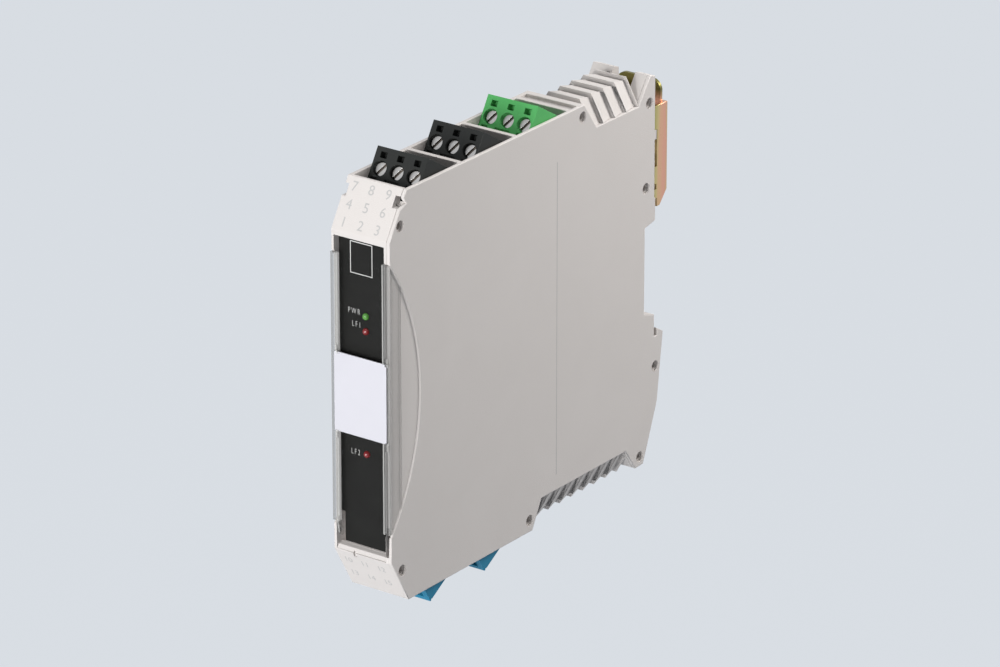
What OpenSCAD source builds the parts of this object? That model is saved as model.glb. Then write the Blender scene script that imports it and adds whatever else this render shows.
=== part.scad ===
// Isolated supply module for a field transmitter, clipped on a 35 mm top-hat rail.
// Millimetres. X runs across the module, Y runs from the front to the rail, Z is up.
// The origin is the middle of the rail seat, on the face that the rail lies against.

/* [Case] */
// Width of the module along the rail
case_w = 17.6; // [17.4:0.1:24]
// Depth from the front face to the rail seat
case_d = 111.5; // [106:0.5:140]
// Height of the case above the middle of the rail
case_top = 54.5; // [52:0.5:68]
// Height of the case below the middle of the rail
case_bottom = 53; // [52:0.5:66]
// Thickness of the two side walls
side_wall = 1.05; // [0.95:0.05:1.3]
// Thickness of the other walls
edge_wall = 1.5; // [1.2:0.1:1.9]
// How far the two front bevels run back
bevel_d = 6.9; // [5:0.1:8]
// How far the two front bevels run up or down
bevel_h = 11.7; // [9:0.1:13]
// Diameter of the holes that take the joining pegs
peg_hole_d = 3; // [2:0.1:4]

/* [Rail] */
// Width of the rail from edge to edge
rail_w = 35; // [34.8:0.1:35.2]
// Thickness of the rail's flanges
rail_t = 1; // [0.8:0.1:1.2]
// Play of the rail in the hook and under the latch
rail_play = 0.2; // [0.1:0.05:0.3]
// Depth of the hollow between the two rail seats
seat_hollow = 4.5; // [3:0.1:5]
// Height that the fixed hook stands behind the rail
hook_lip = 2; // [1.5:0.1:2.4]

/* [Front] */
// Depth of the printed panel behind the front face
panel_depth = 2; // [1.6:0.1:2.4]
// Thickness of the printed panel
panel_t = 0.5; // [0.4:0.1:0.8]
// Radius of the rounded recess in each side wall
grip_r = 58.2; // [55:0.2:66]
// How far that recess runs back from the front
grip_d = 12.2; // [9:0.2:14]
// Depth of that recess in the wall
grip_depth = 0.55; // [0.4:0.05:0.6]
// Thickness of the clear cover's front
cover_t = 0.8; // [0.6:0.1:1]
// How far the clear cover's sides run back
cover_side_d = 4.3; // [3.5:0.1:6]
// Height of the white marking plate
marker_h = 21; // [15:0.5:26]
// Diameter of a signal light
light_d = 1.8; // [1.4:0.1:2.4]

/* [Terminals] */
// Distance from one bay to the next
bay_pitch = 22.55; // [21.8:0.05:23.5]
// Thickness of the wall between two bays
divider_t = 1.45; // [1:0.05:2]
// Distance from one pole to the next
pole_pitch = 5.08; // [5:0.01:5.1]
// Gap between a plug and the side walls
plug_gap = 0.13; // [0.1:0.01:0.3]
// Tilt of a plug's screw face from level
face_tilt = 59; // [55:1:62]
// Thickness of a plug's clamping block behind its screw face
block_t = 10.9; // [10.6:0.1:11.4]
// Length of a plug's screw face
face_l = 15.4; // [14.8:0.1:16]
// Height of a plug from its bottom to its ridge
plug_h = 22; // [21:0.1:23]
// How far a plug's ridge stands above the case
ridge_rise = 4.6; // [4:0.1:5]
// Diameter of a screw head
head_d = 3.4; // [3.2:0.1:3.7]
// Diameter of a screw's thread
thread_d = 2.9; // [2.5:0.1:3]
// Travel of a wire clamp
clamp_travel = 2.2; // [1.8:0.1:2.2]
// Side of a square contact pin
pin_w = 1; // [0.8:0.05:1]

/* [Louvres] */
// Distance from one louvre blade to the next
louvre_pitch = 5; // [4.4:0.1:5.4]
// Height of the step from one blade to the next
louvre_step = 1.1; // [0.8:0.1:1.5]
// Width of the air slot at the foot of a blade
air_slot = 0.9; // [0.6:0.1:1.2]
// How far the louvre's sides lean in
lean_x = 4; // [3:0.1:4.5]
// How far the louvre's sides run up
lean_z = 7.3; // [6:0.1:8]

/* [Latch] */
// Thickness of the latch's sheet steel
sheet_t = 0.9; // [0.7:0.05:1]
// Travel of the latch
latch_travel = 4; // [3:0.1:4.5]
// Depth of the latch's channel behind the rail seat
channel_d = 5.5; // [5.2:0.1:6.5]
// Wire thickness of the latch's spring
spring_wire = 0.5; // [0.4:0.05:0.6]
// Outer diameter of the latch's spring
spring_d = 3.6; // [3.2:0.1:3.8]
// Number of turns in the latch's spring
spring_turns = 5; // [4:0.5:6]

/* [Board] */
// Thickness of the circuit board
board_t = 1.6; // [1:0.2:1.6]
// Gap between the circuit board and the side wall
board_gap = 0.45; // [0.4:0.05:0.8]

/* [Hidden] */
$fn = 48;
FIT = 0.05;
top_bays = 3;
bottom_bays = 2;
poles = 3;
HALF = case_w / 2;
IN = HALF - side_wall;
FRONT = -case_d;
PANEL_Y = FRONT + panel_depth;
WALL_Y = PANEL_Y + panel_t;
CAVITY_Y = WALL_Y + 1.4;
RAIL_HALF = rail_w / 2;

// Bays and plugs
BAY_LEN = bay_pitch - divider_t;
BAY_FRONT_WALL = 0.85;
RIDGE_FROM_BAY = 9.45;
BAY_FLOOR = plug_h - ridge_rise + 6.1;
HEADER_H = 5;
LEDGE_H = 1;
PLUG_W = 2 * (IN - plug_gap);
RIDGE_TOP = case_top + ridge_rise;
RIDGE_BOTTOM = case_bottom + ridge_rise;
LEAN = 90 - face_tilt;
P_DIR = [cos(LEAN), -sin(LEAN)];
Q_DIR = [sin(LEAN), cos(LEAN)];
FACE_END = -face_l * Q_DIR;
BACK_TIP = block_t * P_DIR;
SCREW_Q = -5.3;
TEST_Q = -1.9;
HEAD_P = 1;
HEAD_T = 1;
SHOULDER_P = HEAD_P + HEAD_T + FIT;
SHOULDER_T = 0.55;
CHAMBER_P = SHOULDER_P + SHOULDER_T;
CHAMBER_END_P = block_t - 0.8;
CHAMBER_W = 4.3;
CHAMBER_Q = 8.7;
CLAMP_T = 0.5;
CLAMP_L = 5;
CLAMP_W = CHAMBER_W - 0.2;
CLAMP_P = CHAMBER_END_P - 0.15 - CLAMP_L;
BAR_P = CLAMP_P + 1.2;
BAR_T = 0.7;
BAR_W = 2.6;
SCREW_END_P = BAR_P - FIT;
PIN_V = 1;
SLEEVE_W = 2.2;
SLEEVE_TOP = -13.4;
FIRST_BAY = FRONT + bevel_d + BAY_FRONT_WALL;

// Circuit board
BOARD_X = -IN + board_gap;
BOARD_FACE = BOARD_X + board_t;
BOARD_FRONT = CAVITY_Y + 2.2;
BOARD_TOP = case_top - BAY_FLOOR - LEDGE_H - 0.4;
BOARD_LOW = -(case_bottom - BAY_FLOOR - LEDGE_H - 0.4);

// Rear of the case
WELL_Z = 47 - 54.5 + case_top;
WELL_BACK = -7.7;
DECK_END = FIRST_BAY + top_bays * bay_pitch + 4.9;
WELL_FRONT = DECK_END + 5.3;
LOW_WELL_Z = -45.5 + 53 - case_bottom;
LOW_WELL_BACK = -12.3;
LOW_DECK_END = FIRST_BAY + bottom_bays * bay_pitch + 5.75;
LOW_WELL_FRONT = LOW_DECK_END + 3.9;
BLADES = floor((WELL_BACK - DECK_END - 2.2) / louvre_pitch);
LOW_BLADES = floor((LOW_WELL_BACK - LOW_DECK_END - 4) / louvre_pitch);
REAR_Y = -0.6;
BACK_IN = REAR_Y - edge_wall;
EAR_TOP = case_top - 0.5;
EAR_LEFT = -2.4;
EAR_RIGHT = 4.2;
HOOK_Y = rail_t + rail_play;
HOOK_Z = -RAIL_HALF - rail_play;
HOOK_BACK = 4;

// Latch
LATCH_HALF = HALF - 0.4;
CHANNEL_IN = channel_d - sheet_t;
LATCH_TOP = case_top - 9.8;
NOSE_Z = RAIL_HALF - 0.05;
TONGUE_Z = NOSE_Z + 4.5;
GUIDE_X = LATCH_HALF - sheet_t - 0.6;
GUIDE_Z = TONGUE_Z + sheet_t + 8.2;
GUIDE_TOP = LATCH_TOP - 2;
STUD_D = 1.8;
STUD_Y = 2.6;
SPRING_Y = 2.4;

// Clear cover
COVER_Y = FRONT - 0.5;
GRIP_Z = 1.4;
GRIP_Y = FRONT + grip_d - grip_r;
PIVOT_Y = FRONT + 1.5;
PIVOT_Z = -36.6;
PIVOT_D = 1.6;
COVER_LOW = -33.4;
COVER_HIGH = 37;
ARM_X = IN - 0.5;
ARM_T = 0.65;
RECESS_X = HALF - 0.7;
RECESS_TOP = case_top - bevel_h - 1.5;
RECESS_LOW = -(case_bottom - bevel_h - 1.6);
MARKER_TOP = GRIP_Z - 0.4 + marker_h / 2;
MARKER_LOW = GRIP_Z - 0.4 - marker_h / 2;

PLUG_NODES = ["top_plug_1", "top_plug_2", "top_plug_3", "bottom_plug_1", "bottom_plug_2"];
HEADER_NODES = ["top_header_1", "top_header_2", "top_header_3", "bottom_header_1", "bottom_header_2"];

// Colours of the real pieces
GREY = [0.72, 0.71, 0.69];
INK = [0.16, 0.16, 0.16];
NICKEL = [0.78, 0.77, 0.75];
STEEL = [0.62, 0.63, 0.65];
PLUG_COLOURS = [INK, INK, [0.42, 0.68, 0.45], [0.03, 0.33, 0.45], [0.03, 0.33, 0.45]];

// Outline of the side of the case, seen from the right
SIDE = [
    [FRONT, -(case_bottom - bevel_h)], [FRONT, case_top - bevel_h],
    [FRONT + bevel_d, case_top], [DECK_END, case_top],
    [WELL_FRONT, WELL_Z], [WELL_BACK, WELL_Z],
    [-2.8, EAR_TOP], [REAR_Y, EAR_TOP - 0.7],
    [REAR_Y, 20.6], [0, 20], [0, 14.1], [-seat_hollow, 13.2],
    [-seat_hollow, -10.4], [0, -11.6], [0, HOOK_Z], [HOOK_Y, HOOK_Z],
    [HOOK_Y, HOOK_Z + hook_lip], [HOOK_BACK, HOOK_Z + 0.3],
    [1.6, -36], [-2.4, -46.6 + 53 - case_bottom], [-4.4, -51.6 + 53 - case_bottom],
    [-7.8, -51.8 + 53 - case_bottom], [LOW_WELL_BACK, LOW_WELL_Z],
    [LOW_WELL_FRONT, LOW_WELL_Z], [LOW_DECK_END, -case_bottom],
    [FRONT + bevel_d, -case_bottom]
];

// Space for the electronics inside the case
CAVITY = [
    [CAVITY_Y, -(case_bottom - BAY_FLOOR)], [CAVITY_Y, case_top - BAY_FLOOR],
    [bay_back(top_bays - 1) + divider_t, case_top - BAY_FLOOR],
    [bay_back(top_bays - 1) + divider_t, case_top - edge_wall - 0.9],
    [DECK_END - 0.4, case_top - edge_wall - 0.9], [WELL_FRONT - 1.4, WELL_Z - edge_wall],
    [BACK_IN, WELL_Z - edge_wall], [BACK_IN, 15.3], [-seat_hollow - edge_wall, 14.4],
    [-seat_hollow - edge_wall, -11.6], [-2.4, -12.8], [-2.4, -37],
    [-5.4, LOW_WELL_Z + edge_wall], [LOW_WELL_FRONT - 0.6, LOW_WELL_Z + edge_wall],
    [LOW_DECK_END - 0.8, -case_bottom + edge_wall],
    [bay_back(bottom_bays - 1) + divider_t, -case_bottom + edge_wall],
    [bay_back(bottom_bays - 1) + divider_t, -(case_bottom - BAY_FLOOR)]
];

// Places of the joining pegs: Y and Z
PEGS = [
    [FRONT + 4.2, case_top - 8.6], [FRONT + 4.2, -case_bottom + 8.8],
    [DECK_END - 0.8, case_top - 3.1], [-3.1, case_top - 7.9], [-4.3, 24],
    [0.5, -26], [-6.1, -case_bottom + 3.9], [LOW_DECK_END - 1.3, -case_bottom + 3.2]
];

function bay_front(k) = FIRST_BAY + k * bay_pitch;
function bay_back(k) = bay_front(k) + BAY_LEN;
function ridge_y(k) = bay_front(k) + RIDGE_FROM_BAY;
function pole_x(n) = (n - (poles + 1) / 2) * pole_pitch;
function in_block(p, q) = p * P_DIR + q * Q_DIR;
function on_bevel(part) = [FRONT + bevel_d * part, case_top - bevel_h * (1 - part)];

// An outline in Y and Z, given its thickness along X
module slab(x0, x1, points) {
    translate([x0, 0, 0])
        rotate([90, 0, 90])
            linear_extrude(height = x1 - x0)
                polygon(points);
}

// A box between two corners
module box(low, high) {
    translate(low)
        cube(high - low);
}

// A round bar along X
module rod_x(x0, x1, y, z, d) {
    translate([x0, y, z])
        rotate([0, 90, 0])
            cylinder(d = d, h = x1 - x0);
}

// The lower half of the module is the upper half turned over
module on_row(top, height) {
    if (top)
        translate([0, 0, height])
            children();
    else
        translate([0, 0, -height])
            mirror([0, 0, 1])
                children();
}

// Places a plug's own pieces: its ridge is the origin
module at_plug(top, k) {
    on_row(top, top ? RIDGE_TOP : RIDGE_BOTTOM)
        translate([0, ridge_y(k - 1), 0])
            children();
}

// Turns Z to point straight in through a plug's screw face
module at_screw(n) {
    translate([pole_x(n), SCREW_Q * Q_DIR[0], SCREW_Q * Q_DIR[1]])
        rotate([-90 - LEAN, 0, 0])
            children();
}

// Case

// Trapezoid body of a louvre, whose sides lean in
module louvre_form(y0, y1, base_half, height, lean) {
    top_half = base_half - lean;
    translate([0, y1, 0])
        rotate([90, 0, 0])
            linear_extrude(height = y1 - y0)
                polygon([[-base_half, 0], [-top_half, height], [top_half, height], [base_half, 0]]);
}

// Saw profile of the blades: a slope up to the first one, then one tooth for each blade
function saw(y0, first, y1) =
    let (count = ceil((y1 - first) / louvre_pitch), tip = -0.1)
    concat(
        [[y0, 4], [y0, tip], [first, -louvre_step - 0.5]],
        [for (i = [0 : count - 1]) each [
            [first + i * louvre_pitch, tip], [first + (i + 1) * louvre_pitch, tip - louvre_step]
        ]],
        [[first + count * louvre_pitch, 4]]
    );

// A louvred roof on the well of the case, from Y y0 to y1; its blades start at Y first
module louvre(y0, first, y1) {
    lean_turn = atan2(lean_z, lean_x);
    wall = louvre_step + 0.9;
    wall_x = wall / sin(lean_turn);
    inner_z = lean_z - wall;
    inner_lean = inner_z * lean_x / lean_z;
    count = ceil((y1 - first) / louvre_pitch);
    difference() {
        louvre_form(y0, y1, HALF, lean_z, lean_x);
        translate([0, 0, -2])
            louvre_form(first + 1.2, y1 - 1.2, HALF - wall_x, inner_z + 2, inner_lean);
        translate([0, 0, lean_z])
            slab(-HALF, HALF, saw(y0 - 1, first, y1));
        for (side = [-1, 1])
            translate([side * (HALF - lean_x / 2), 0, lean_z / 2])
                rotate([0, side * lean_turn, 0])
                    slab(-lean_z, lean_z, saw(y0 - 1, first, y1));
        for (i = [1 : count - 1])
            box([lean_x - HALF + 0.9, first + i * louvre_pitch - air_slot, -3],
                [HALF - lean_x - 0.9, first + i * louvre_pitch, lean_z + 1]);
    }
}

// Pocket for one plug and its header
module bay_cut(k) {
    box([-IN, bay_front(k), -BAY_FLOOR + LEDGE_H], [IN + 1, bay_back(k), 20]);
    box([-IN, bay_front(k) + 1, -BAY_FLOOR - 2], [IN + 1, bay_back(k) - 1, 0]);
}

// Hollow behind a front bevel
module bevel_hollow(height) {
    wall = FIRST_BAY - 1.2;
    rise = bevel_h / bevel_d;
    low = height - bevel_h + rise * (CAVITY_Y - FRONT) - 3.0;
    high = height - bevel_h + rise * (wall - FRONT) - 3.0;
    slab(-IN, IN + 1, [[CAVITY_Y, height - BAY_FLOOR - 1], [CAVITY_Y, low], [wall, high],
        [wall, height - BAY_FLOOR - 1]]);
}

// Rounded recess in a side wall, as a disc
module grip(x0, x1, r) {
    intersection() {
        rod_x(x0, x1, GRIP_Y, GRIP_Z, 2 * r);
        box([x0, FRONT - 1, GRIP_Z - r], [x1, FRONT + grip_d + 1, GRIP_Z + r]);
    }
}

// The front opening round the printed panel, and the cover's place
module front_cut() {
    box([-RECESS_X, FRONT - 1, RECESS_LOW], [RECESS_X - 1.1, WALL_Y, RECESS_TOP]);
    box([-HALF - 1, FRONT - 1, COVER_LOW - 0.8], [HALF + 1, COVER_Y + cover_t + 0.05, COVER_HIGH + 0.3]);
    slab(-RECESS_X, RECESS_X - 1.1, [[FRONT - 1, RECESS_LOW - 1.4], [FRONT + 0.3, RECESS_LOW - 1.4],
        [FRONT + 0.8, RECESS_LOW - 0.4], [PANEL_Y, RECESS_LOW - 0.1], [PANEL_Y, 0], [FRONT - 1, 0]]);
    box([-3.1, FRONT - 1, RECESS_LOW - 2.6], [-2.3, FRONT + 0.9, RECESS_LOW - 1]);
    for (side = [-1, 1])
        translate([side * (ARM_X + ARM_T / 2), 0, 0])
            box([-0.5, FRONT - 1, RECESS_LOW], [0.5, PIVOT_Y + 2.1, COVER_LOW + 1.6]);
}

// Notches in the edges of the upper bevel: square ones in the tub, a pointed one in the side cover
module square_notch(x0, x1) {
    low = on_bevel(0.62);
    high = on_bevel(0.83);
    slab(x0, x1, [low + [-1, 0], low + [3, 0], high + [3, 0], high + [-1, 0.3]]);
}

module pointed_notch() {
    low = on_bevel(0.62);
    high = on_bevel(0.83);
    slab(IN - 1, HALF + 1, [low + [-1, -0.35], low + [2.6, 0.9], high, high + [-0.9, 0.5]]);
}

module lights_cut() {
    for (z = LIGHT_Z)
        translate([0, CAVITY_Y + 1, z])
            rotate([90, 0, 0])
                cylinder(d = light_d + 0.1, h = 6);
}
LIGHT_Z = [21.3, 17.4, -14.8];

// Ears beside the latch's tab: a hollow between them
module tab_space() {
    box([EAR_LEFT, WELL_BACK + 0.1, WELL_Z], [EAR_RIGHT, 2, case_top + 1]);
    box([EAR_LEFT - 1.6, WELL_BACK - 1, EAR_TOP - 4.8], [EAR_LEFT - 0.5, 0.5, EAR_TOP - 1.3]);
}

// Small ribs behind the ears
module ear_rib(x0, x1) {
    slab(x0, x1, [[REAR_Y - 0.1, EAR_TOP - 3.2], [1.3, WELL_Z - 0.2], [REAR_Y - 0.1, WELL_Z - 1.6]]);
}

// Guide on the back of the case, which the latch rides on
module latch_guide() {
    difference() {
        box([-GUIDE_X, REAR_Y - 0.2, GUIDE_Z], [GUIDE_X, CHANNEL_IN - 0.25, GUIDE_TOP]);
        for (side = [-1, 1])
            translate([side * GUIDE_X, 0, 0])
                box([-0.9, STUD_Y - STUD_D / 2 - 0.1, GUIDE_Z - 1], [0.9, STUD_Y + STUD_D / 2 + 0.1, GUIDE_TOP - 2.5]);
        box([-4.2, 0.9, GUIDE_Z + 2.2], [4.2, CHANNEL_IN + 1, GUIDE_TOP - 1.4]);
    }
    for (side = [-1, 1]) {
        translate([side * (LATCH_HALF - sheet_t / 2), 0, 0])
            box([-0.4, REAR_Y + 0.02, GUIDE_TOP - 7], [0.4, 0.9, GUIDE_TOP - 4.4]);
        translate([side * (IN - 0.3), 0, 0])
            box([-0.28, REAR_Y - 0.2, GUIDE_TOP - 7], [0.28, 0.9, GUIDE_TOP - 4.4]);
    }
}

module housing_tub() {
    color(GREY)
    difference() {
        union() {
            slab(-HALF, -IN, SIDE);
            difference() {
                slab(-IN - 0.01, IN, SIDE);
                slab(-IN, IN + 1, CAVITY);
                for (k = [0 : top_bays - 1])
                    on_row(true, case_top)
                        bay_cut(k);
                for (k = [0 : bottom_bays - 1])
                    on_row(false, case_bottom)
                        bay_cut(k);
                on_row(true, 0)
                    bevel_hollow(case_top);
                on_row(false, 0)
                    bevel_hollow(case_bottom);
                box([-IN, bay_back(top_bays - 1) + divider_t, case_top - 0.9], [IN + 1, DECK_END - 2, case_top + 1]);
            }
            difference() {
                union() {
                    translate([0, 0, WELL_Z])
                        louvre(DECK_END - 0.4, WELL_BACK - BLADES * louvre_pitch - 0.2, WELL_BACK + 0.2);
                    translate([0, 0, LOW_WELL_Z])
                        mirror([0, 0, 1])
                            louvre(LOW_DECK_END - 0.4, LOW_WELL_BACK - 3.4 - LOW_BLADES * louvre_pitch, LOW_WELL_BACK + 2);
                }
                slab(IN, HALF + 1, SIDE);
            }
            latch_guide();
            ear_rib(-LATCH_HALF + sheet_t + 0.3, EAR_LEFT);
            ear_rib(EAR_RIGHT, LATCH_HALF - sheet_t - 0.3);
            for (spot = PEGS)
                rod_x(-IN - 0.1, HALF - 0.8, spot[0], spot[1], peg_hole_d - 2 * FIT);
            for (rib_y = [FRONT + 30, FRONT + 60, FRONT + 90], side = [-1, 1])
                box([-IN - 0.1, rib_y, side * 14 - 1], [BOARD_X, rib_y + 6, side * 14 + 1]);
        }
        front_cut();
        lights_cut();
        for (spot = PEGS)
            rod_x(IN - 4, HALF, spot[0], spot[1], peg_hole_d - 0.8);
        tab_space();
        square_notch(-HALF - 1, -IN + 0.05);
        square_notch(HALF - 2.5, IN + 1);
        box([-5.2, WELL_FRONT + 1.5, WELL_Z - edge_wall - 1], [5.2, WELL_BACK - 1.4, WELL_Z + 0.4]);
        box([-5.2, LOW_WELL_FRONT + 1.5, LOW_WELL_Z - 0.4], [5.2, LOW_WELL_BACK - 1.4, LOW_WELL_Z + edge_wall + 1]);
        grip(-HALF - 1, -HALF + grip_depth, grip_r);
        for (side = [-1, 1])
            rod_x(side * (RECESS_X + 0.2) - 0.25, side * (RECESS_X + 0.2) + 0.25, PIVOT_Y, PIVOT_Z, PIVOT_D + 0.1);
    }
}

module side_cover() {
    color(GREY)
    difference() {
        slab(IN, HALF, SIDE);
        front_cut();
        grip(HALF - grip_depth, HALF + 1, grip_r);
        for (spot = PEGS)
            rod_x(IN - 1, HALF + 1, spot[0], spot[1], peg_hole_d);
        rod_x(IN - 1, RECESS_X + 0.45, PIVOT_Y, PIVOT_Z, PIVOT_D + 0.1);
        pointed_notch();
        tab_space();
    }
}

// Front

// Side of the clear cover, which fills part of the rounded recess
module cover_side(x0, x1) {
    intersection() {
        grip(x0, x1, grip_r - 0.25);
        box([x0 - 1, COVER_Y, COVER_LOW], [x1 + 1, FRONT + cover_side_d, COVER_HIGH]);
    }
    box([x0, COVER_Y, COVER_LOW], [x1, FRONT, COVER_HIGH]);
}

module front_cover() {
    color([0.85, 0.88, 0.9, 0.35])
    difference() {
        union() {
            box([-HALF, COVER_Y, COVER_LOW], [HALF, COVER_Y + cover_t, COVER_HIGH]);
            cover_side(-HALF, -HALF + grip_depth - FIT);
            cover_side(HALF - grip_depth + FIT, HALF);
            for (side = [-1, 1]) {
                low_x = side < 0 ? -ARM_X - ARM_T : ARM_X;
                slab(low_x, low_x + ARM_T, [[COVER_Y + 0.1, COVER_LOW], [COVER_Y + 0.1, COVER_LOW + 1],
                    [PIVOT_Y + 1.2, COVER_LOW + 0.6], [PIVOT_Y + 1.2, PIVOT_Z], [PIVOT_Y - 1.2, PIVOT_Z]]);
                rod_x(low_x, low_x + ARM_T, PIVOT_Y, PIVOT_Z, 2.4);
                rod_x(side < 0 ? -RECESS_X - 0.35 : ARM_X, side < 0 ? -ARM_X : RECESS_X + 0.35,
                    PIVOT_Y, PIVOT_Z, PIVOT_D);
            }
        }
        box([-8 * HALF / 8.8, COVER_Y - 1, MARKER_LOW], [8 * HALF / 8.8, COVER_Y + 0.35, MARKER_TOP]);
    }
    color([0.85, 0.88, 0.9, 0.35])
        for (x = [-7.2 * HALF / 8.8, 7.7 * HALF / 8.8], top = [true, false])
            on_row(top, top ? MARKER_TOP : -MARKER_LOW) {
                box([x, COVER_Y - 0.45, 0.05], [x + 1.05, COVER_Y + 0.3, 1.7]);
                box([x, COVER_Y - 0.45, -0.5], [x + 1.05, COVER_Y - 0.17, 0.06]);
            }
}

module front_panel() {
    color(INK)
    difference() {
        box([-RECESS_X + 0.1, PANEL_Y, RECESS_LOW + 0.3], [RECESS_X - 1.2, WALL_Y, RECESS_TOP - 0.3]);
        for (side = [-1, 1])
            translate([side * (ARM_X + ARM_T / 2), 0, 0])
                box([-0.7, PANEL_Y - 1, RECESS_LOW - 1], [0.7, WALL_Y + 1, COVER_LOW + 1.8]);
        box([-HALF, PANEL_Y - 1, RECESS_LOW - 1], [-ARM_X, WALL_Y + 1, COVER_LOW + 1.8]);
        lights_cut();
    }
}

module marker_plate() {
    side = 8 * HALF / 8.8 - 0.1;
    color([0.9, 0.89, 0.93])
        box([-side, COVER_Y - 0.15, MARKER_LOW + 0.1], [side, COVER_Y + 0.35, MARKER_TOP - 0.1]);
}

// A signal light: domed lens, body and two leads to the board
module light(z, tint) {
    color(tint) {
        translate([0, CAVITY_Y + 2, z])
            rotate([90, 0, 0])
                cylinder(d = light_d, h = CAVITY_Y + 2 - PANEL_Y);
        translate([0, PANEL_Y, z])
            intersection() {
                sphere(d = light_d);
                box([-2, -2, -2], [2, 0, 2]);
            }
        box([BOARD_FACE, CAVITY_Y + 1.9, z - 1.2], [1.4, CAVITY_Y + 4.4, z + 1.2]);
    }
}

// Board and its parts

module circuit_board() {
    top_rear = bay_back(top_bays - 1) + divider_t + 0.8;
    low_rear = bay_back(bottom_bays - 1) + divider_t + 0.8;
    outline = [
        [BOARD_FRONT, BOARD_LOW], [BOARD_FRONT, BOARD_TOP], [top_rear, BOARD_TOP], [top_rear, WELL_Z - 3],
        [-8, WELL_Z - 3], [-8, LOW_WELL_Z + 3], [low_rear, LOW_WELL_Z + 3], [low_rear, BOARD_LOW]
    ];
    color([0.1, 0.4, 0.2])
    difference() {
        slab(BOARD_X, BOARD_FACE, outline);
        for (k = [1 : top_bays], n = [1 : poles])
            at_plug(true, k)
                pin_hole(n);
        for (k = [1 : bottom_bays], n = [1 : poles])
            at_plug(false, k)
                pin_hole(n);
        for (spot = PEGS)
            rod_x(BOARD_X - 1, BOARD_FACE + 1, spot[0], spot[1], peg_hole_d + 0.6);
    }
    color([0.12, 0.12, 0.13])
        for (place = [[-88, 14], [-88, -8], [-64, -22], [-20, 30], [-20, -30]])
            box([BOARD_FACE, place[0], place[1]], [BOARD_FACE + 3.2, place[0] + 9, place[1] + 6.4]);
}

module pin_hole(n) {
    leg_z = PIN_LEG_W - (n - 1) * 2.4;
    box([BOARD_X - 1, PIN_V - 0.7, leg_z - 0.7], [BOARD_FACE + 1, PIN_V + 0.7, leg_z + 0.7]);
}
PIN_LEG_W = -plug_h - HEADER_H - 3.4;

module transformer_core() {
    color([0.2, 0.2, 0.22])
    difference() {
        box([BOARD_FACE + 2.4, -60, -8], [BOARD_FACE + 10.4, -40, 16]);
        box([BOARD_FACE - 1, -57, -4.5], [BOARD_FACE + 13, -52.9, 12.5]);
        box([BOARD_FACE - 1, -47.1, -4.5], [BOARD_FACE + 13, -43, 12.5]);
    }
    for (y = [-59, -43])
        color([0.2, 0.2, 0.22])
            box([BOARD_FACE, y, -7], [BOARD_FACE + 2.5, y + 2, -5]);
}

module transformer_winding() {
    color([0.85, 0.7, 0.25])
    difference() {
        box([BOARD_FACE + 0.2, -56.8, -4.3], [BOARD_FACE + 12.6, -43.2, 12.3]);
        box([BOARD_FACE + 2.35, -53, -5], [BOARD_FACE + 10.45, -47, 13]);
    }
}

module capacitors() {
    color([0.15, 0.17, 0.3])
        for (spot = [[-34, 22], [-34, 10], [-34, -20], [-22, 16]])
            rod_x(BOARD_FACE, BOARD_FACE + 11.5, spot[0], spot[1], 8);
}

// Terminals

module header(top, k, tint) {
    color(tint)
        at_plug(top, k)
            difference() {
                union() {
                    box([-IN + 0.1, -RIDGE_FROM_BAY + 0.1, -plug_h - HEADER_H],
                        [IN - 0.1, BAY_LEN - RIDGE_FROM_BAY - 0.1, -plug_h - 0.1]);
                    box([-IN + 0.1, -RIDGE_FROM_BAY + 0.1, -plug_h - HEADER_H], [IN - 0.1, FACE_END[0] - 0.4, -14.5]);
                    box([-IN + 0.1, BACK_TIP[0] + 0.4, -plug_h - HEADER_H],
                        [IN - 0.1, BAY_LEN - RIDGE_FROM_BAY - 0.1, -13]);
                }
                for (n = [1 : poles])
                    box([pole_x(n) - pin_w / 2 - FIT, PIN_V - pin_w / 2 - FIT, -plug_h - HEADER_H - 1],
                        [pole_x(n) + pin_w / 2 + FIT, PIN_V + pin_w / 2 + FIT, -plug_h + 1]);
            }
}

// A bent pin: up into the plug, down and across to the board
module bent_pin(n) {
    leg_z = PIN_LEG_W - (n - 1) * 2.4;
    half = pin_w / 2;
    box([pole_x(n) - half, PIN_V - half, leg_z - half], [pole_x(n) + half, PIN_V + half, SLEEVE_TOP - 1.2]);
    box([BOARD_X - 0.3, PIN_V - half, leg_z - half], [pole_x(n), PIN_V + half, leg_z + half]);
}

module header_pins() {
    color(NICKEL) {
        for (k = [1 : top_bays], n = [1 : poles])
            at_plug(true, k)
                bent_pin(n);
        for (k = [1 : bottom_bays], n = [1 : poles])
            at_plug(false, k)
                bent_pin(n);
    }
}

// A piece of a plug's clamping block: a box in the block's own tilted directions
module block_box(x, half_w, p0, p1, q0, q1) {
    slab(x - half_w, x + half_w, [in_block(p0, q0), in_block(p0, q1), in_block(p1, q1), in_block(p1, q0)]);
}

// The sheet contact of one pole: the bar under the clamp, and the box round the pin
module contact_form(n, gap) {
    half = SLEEVE_W / 2 + gap;
    block_box(pole_x(n), BAR_W / 2 + gap, BAR_P - gap, BAR_P + BAR_T + gap, -10.4, -2.4 + gap);
    slab(pole_x(n) - BAR_W / 2 - gap, pole_x(n) + BAR_W / 2 + gap, [
        in_block(BAR_P - gap, -10.2), in_block(BAR_P + BAR_T + gap, -10.2),
        [PIN_V + half, SLEEVE_TOP], [PIN_V - half, SLEEVE_TOP]]);
    box([pole_x(n) - half, PIN_V - half, -plug_h + 0.6 - gap], [pole_x(n) + half, PIN_V + half, SLEEVE_TOP + 0.01]);
}

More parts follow.
